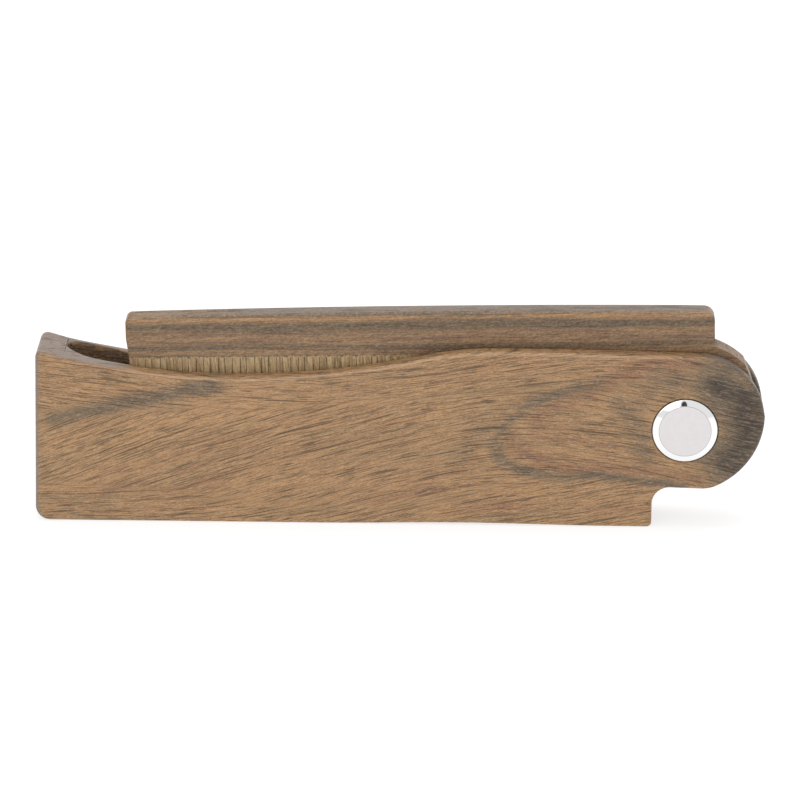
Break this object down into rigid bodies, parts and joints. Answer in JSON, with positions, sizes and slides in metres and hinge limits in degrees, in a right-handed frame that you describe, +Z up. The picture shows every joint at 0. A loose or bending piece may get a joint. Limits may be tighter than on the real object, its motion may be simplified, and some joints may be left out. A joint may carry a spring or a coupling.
{
  "type": "folding comb",
  "caption": "Wooden comb that folds into its own slotted wooden handle, swinging half a turn on a metal rivet.",
  "frame": {"origin": "centre of the handle's bottom edge, where the folded comb stands on a surface", "axes": "+X along the handle towards the rivet, -Y out of the near cheek, +Z up from the bottom edge towards the comb's back"},
  "size_m": [0.1204, 0.0122, 0.0364],
  "materials": {
    "handle_wood": "satin",
    "spine_wood": "satin",
    "teeth_wood": "satin",
    "bright_metal": "polished"
  },
  "bodies": {
    "handle": {"handle": "handle_wood", "rivet": "bright_metal", "rivet_cap": "bright_metal"},
    "comb": {"comb_spine": "spine_wood", "comb_teeth": "teeth_wood"}
  },
  "joints": [
    {"name": "comb_fold", "type": "hinge", "parent": "handle", "child": "comb", "pos_m": [0.0471, 0, 0.01705], "axis": [0, 1, 0], "range_deg": [0, 180]}
  ]
}
